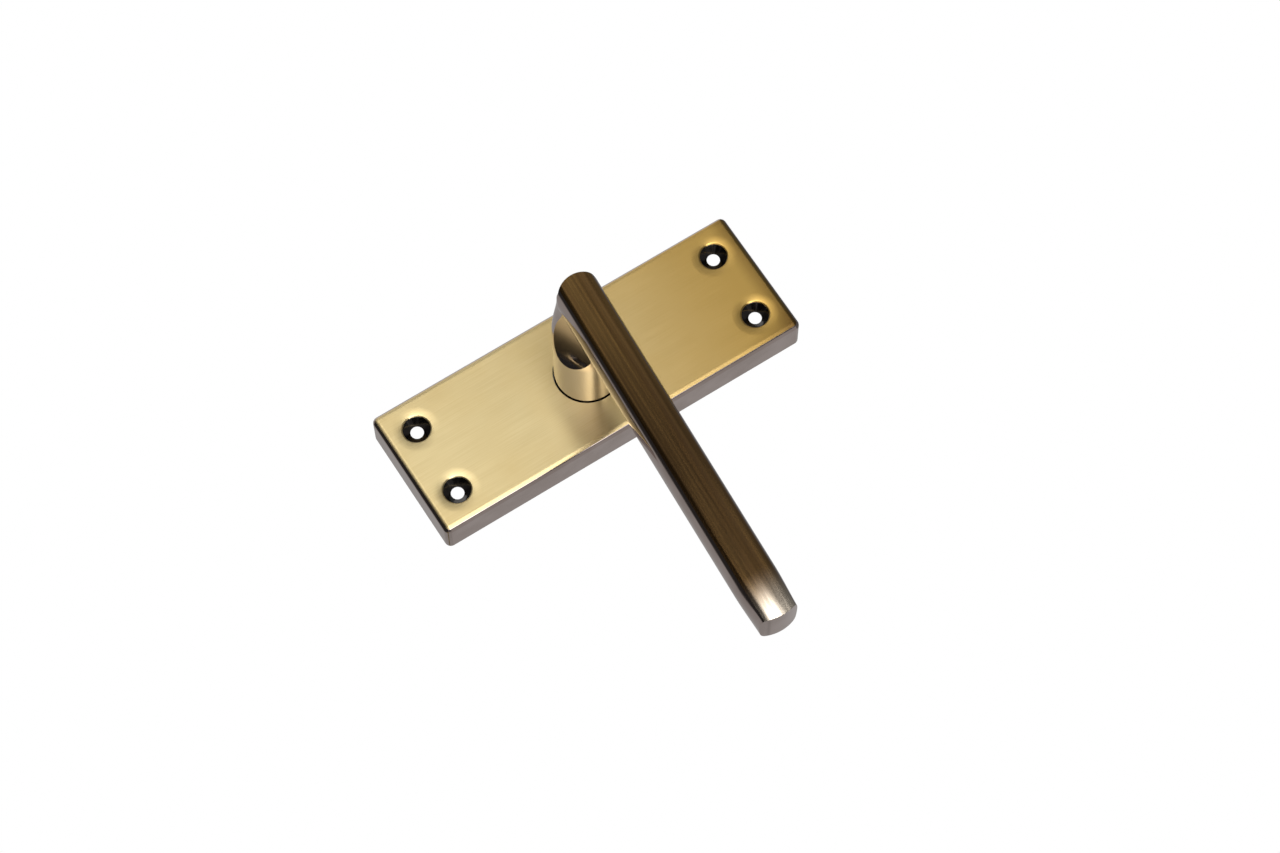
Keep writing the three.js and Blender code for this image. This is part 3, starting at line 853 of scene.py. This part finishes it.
def buildLever():
    g, n = gripShape, neckShape
    bar = prism("leverCasting", gripSection(), 0, -120, 20)
    bm = bmesh.new()
    bm.from_mesh(bar.data)
    for x in g["slices"]:
        whole = bm.verts[:] + bm.edges[:] + bm.faces[:]
        bmesh.ops.bisect_plane(bm, geom=whole, plane_co=(x, 0, 0), plane_no=(1, 0, 0))
    bm.to_mesh(bar.data)
    bm.free()
    for vert in bar.data.vertices:
        past = max(-vert.co.x - (g["tipEnd"] - g["fallLength"]), 0) / g["fallLength"]
        share = smoothstep(-vert.co.y, g["front"] - 4, g["front"])
        vert.co.y += g["fall"] * min(past, 1.3) ** 2 * share
        bulge = abs(vert.co.z) - g["halfFront"]
        if bulge > 0:
            vert.co.z -= math.copysign(bulge * g["tipDraw"] * smoothstep(past, 0.1, 1.2), vert.co.z)
    boolean(bar, prism("outline", gripOutline(), 1, -70, -40), "INTERSECT")
    heights = [n["shoulder"] + (n["waistStart"] - n["shoulder"]) * i / 6 for i in range(6)]
    heights += [n["waistStart"] + (n["top"] - n["waistStart"]) * i / 56 for i in range(57)]
    column = ringLoft("neckColumn", 128, heights, neckPlace)
    boolean(column, facetCutter(1), "DIFFERENCE")
    boolean(column, facetCutter(-1), "DIFFERENCE")
    boolean(bar, column, "UNION")
    boolean(bar, turned("tail", tailProfile, 96), "UNION")
    well = bmesh.new()
    bmesh.ops.create_cube(well, size=1)
    bmesh.ops.scale(well, verts=well.verts, vec=(n["socket"], n["socketTop"] + 1, n["socket"]))
    bmesh.ops.translate(well, verts=well.verts, vec=(0, (1 - n["socketTop"]) / 2, 0))
    boolean(bar, link("well", well), "DIFFERENCE")
    hole = turned("grubHole", [(0, 0), (n["grubHole"], 0), (n["grubHole"], 15), (0, 15)], 48)
    hole.data.transform(Matrix.Rotation(math.pi / 2, 4, "X"))
    hole.data.transform(Matrix.Translation((0, -n["grubHeight"], 0)))
    boolean(bar, hole, "DIFFERENCE")

    def pick(face):
        x, y, z = face.center
        return 1 if y < 2 - g["front"] and face.normal.y < -0.6 else 0

    return finishPiece(
        bar, "handle", ["lever"], [polishedLeverPaintedShade, gripFront], pick, turn=leverTurn, sharp=18
    )


# The cassette behind the plate. A lug is its inner reach, start and end in degrees, and lowest height.
housingShape = {
    "width": 36,
    "length": 58,
    "corner": 3,
    "floorLow": 5.3,
    "floorHigh": 6.8,
    "bore": 7.5,
    "rim": (12.4, 14, 9.7),
    "wall": (15.4, 17, 1.3),
    "screwAcross": 13,
    "screwAlong": 24,
    "screwHole": 1.15,
    "edge": 0.2,
    "lugs": ((12.2, 36, 50, 3.6), (12.2, 130, 144, 3.6), (12, 203.6, 215.6, 1.3)),
}


def buildHousing():
    h = housingShape
    low, high = h["floorLow"], h["floorHigh"]
    x, z = h["width"] / 2 - h["corner"], h["length"] / 2 - h["corner"]
    outline = []
    for middle, start in (((x, z), 0), ((-x, z), 90), ((-x, -z), 180), ((x, -z), 270)):
        outline += arc(middle, h["corner"], start, start + 90, 10)
    flange = prism("springHousingCasting", outline, 1, -high, -low)
    bm = bmesh.new()
    bm.from_mesh(flange.data)
    rims = [e for e in bm.edges if abs(e.verts[0].co.y - e.verts[1].co.y) < 0.1]
    bmesh.ops.bevel(bm, geom=rims, offset=h["edge"], segments=3, affect="EDGES", profile=0.5, material=-1)
    bm.to_mesh(flange.data)
    bm.free()
    inner, outer, top = h["rim"]
    rim = [(inner, high - 0.3), (outer, high - 0.3), (outer, top - 0.15)]
    rim += [(outer - 0.15, top), (inner, top)]
    boolean(flange, turned("rim", rim, 96), "UNION")
    inner, outer, bottom = h["wall"]
    wall = [(inner, low + 0.3), (inner, bottom), (outer - 0.2, bottom)]
    wall += [(outer, bottom + 0.2), (outer, low + 0.3)]
    boolean(flange, turned("wall", wall, 128), "UNION")
    for reach, start, end, lowest in h["lugs"]:
        lug = arc((0, 0), inner + 0.4, start, end, 6) + arc((0, 0), reach, end, start, 6)
        boolean(flange, prism("lug", lug, 1, -low - 0.2, -lowest), "UNION")
    boolean(flange, turned("bore", [(0, 4), (h["bore"], 4), (h["bore"], 8), (0, 8)], 96), "DIFFERENCE")
    for sx in (1, -1):
        for sz in (1, -1):
            hole = [(0, 4), (h["screwHole"], 4), (h["screwHole"], 8), (0, 8)]
            place = (sx * h["screwAcross"], sz * h["screwAlong"])
            boolean(flange, turned("screwClearance", hole, 32, place), "DIFFERENCE")
    return finishPiece(flange, "mounting", ["spring_housing"], [zinc], sharp=30)


coverShape = {"inner": 9.4, "outer": 16.8, "low": 0.3, "high": 1.0, "edge": 0.15}


def buildSpringCover():
    c, e = coverShape, coverShape["edge"]
    inner, outer, low, high = c["inner"], c["outer"], c["low"], c["high"]
    profile = [(inner + e, low), (outer - e, low), (outer, low + e), (outer, high - e), (outer - e, high)]
    profile += [(inner + e, high), (inner, high - e), (inner, low + e)]
    ring = turned("springCoverRing", profile, 128)
    return finishPiece(ring, "mounting", ["spring_cover"], [steel], sharp=50)


screwShape = {
    "radius": 0.85,
    "root": 0.68,
    "pitch": 0.4,
    "head": [(0, 3.1), (0.8, 3.13), (1.3, 3.22), (1.7, 3.42), (1.88, 3.7), (1.9, 4.22), (1.82, 4.3)],
    "top": 9.3,
    "slotHalf": 0.25,
    "slotReach": 1.15,
    "slotFloor": 3.7,
}


def buildHousingScrew(number, x, z):
    c = screwShape
    profile = list(c["head"]) + [(c["root"], 4.3)]
    height = 4.5
    while height + c["pitch"] < c["top"] - 0.2:
        profile += [(c["root"], height), (c["radius"], height + c["pitch"] / 2)]
        height += c["pitch"]
    profile += [(c["root"], height), (0.5, c["top"]), (0, c["top"])]
    screw = turned(f"housingScrew{number}", profile, 40)
    for across, along in ((c["slotReach"], c["slotHalf"]), (c["slotHalf"], c["slotReach"])):
        outline = [(across, along), (-across, along), (-across, -along), (across, -along)]
        boolean(screw, prism("slot", outline, 1, -c["slotFloor"], -2), "DIFFERENCE")
    screw.data.transform(Matrix.Translation((x, 0, z)))
    return finishPiece(screw, "mounting", [f"housing_screw_{number}"], [steel], sharp=35)


spindleShape = {"half": 3.9, "top": 31.5, "reach": 40, "chamfer": 0.7}


def buildSpindle():
    c = spindleShape
    bm = bmesh.new()
    bmesh.ops.create_cube(bm, size=1)
    bmesh.ops.scale(bm, verts=bm.verts, vec=(2 * c["half"], c["top"] + c["reach"], 2 * c["half"]))
    bmesh.ops.translate(bm, verts=bm.verts, vec=(0, (c["reach"] - c["top"]) / 2, 0))
    bevel = {"affect": "EDGES", "profile": 0.5, "material": -1}
    bmesh.ops.bevel(bm, geom=bm.edges, offset=c["chamfer"], segments=3, **bevel)
    bar = link("squareSpindle", bm)
    return finishPiece(bar, "handle", ["spindle"], [steel], turn=leverTurn, sharp=35)


circlipShape = {
    "inner": 6.75,
    "outer": 8.9,
    "low": 2.1,
    "high": 2.8,
    "gap": 25,
    "earReach": 7.8,
    "earSpread": 3.1,
    "ear": 1.15,
    "eye": 0.5,
}


def buildCirclip():
    c = circlipShape
    outline = arc((0, 0), c["outer"], c["gap"], 360 - c["gap"], 90)
    outline += arc((0, 0), c["inner"], 360 - c["gap"], c["gap"], 90)
    clip = prism("circlipRing", outline, 1, -c["high"], -c["low"])
    for side in (1, -1):
        place = (c["earReach"], side * c["earSpread"])
        ear = [(0, c["low"]), (c["ear"], c["low"]), (c["ear"], c["high"]), (0, c["high"])]
        boolean(clip, turned("ear", ear, 32, place), "UNION")
        boolean(clip, turned("eye", [(0, 1), (c["eye"], 1), (c["eye"], 4), (0, 4)], 24, place), "DIFFERENCE")
    return finishPiece(clip, "handle", ["circlip"], [spring], turn=leverTurn, sharp=35)


scene.view_settings.view_transform = "Standard"
addCamera()
addSurroundings()
addFloor()
print("studio ready")
plateFront = makePlateFront()
bronze, shade = polishFinish["bronze"], polishFinish["shade"]
polished = makePolished("polishedBronze", bronze, shade)
polishedLeverPaintedShade = makePolished("polishedLeverPaintedShade", bronze, shade, neck=polishFinish["neck"])
holeBlack = makePolished("blackenedRecess", polishFinish["recess"], polishFinish["recessShade"], 0.12, 0.22)
insideCast = makeInner("castInside")
gripFront = makeGripFront()
zinc = makeInner("castZinc")
steel = makeInner("platedSteel")
spring = makeInner("springSteel")
nylon = makeInner("blackNylon")
print("materials ready")
looks = {"cast_zinc": zinc, "plated_steel": steel, "spring_steel": spring, "nylon": nylon}
for part in frame["record"]["subparts"]:
    look = looks.get(part["material_slot"])
    if look:
        carried = frame["nodes"][part["node"]]
        carried.data.materials.clear()
        carried.data.materials.append(look)
print("inner pieces given their finishes")
buildBackplate()
buildLever()
buildHousing()
buildSpringCover()
for number, (sx, sz) in enumerate(((1, 1), (-1, 1), (1, -1), (-1, -1)), 1):
    buildHousingScrew(number, sx * housingShape["screwAcross"], sz * housingShape["screwAlong"])
buildSpindle()
buildCirclip()
print("all pieces ready")
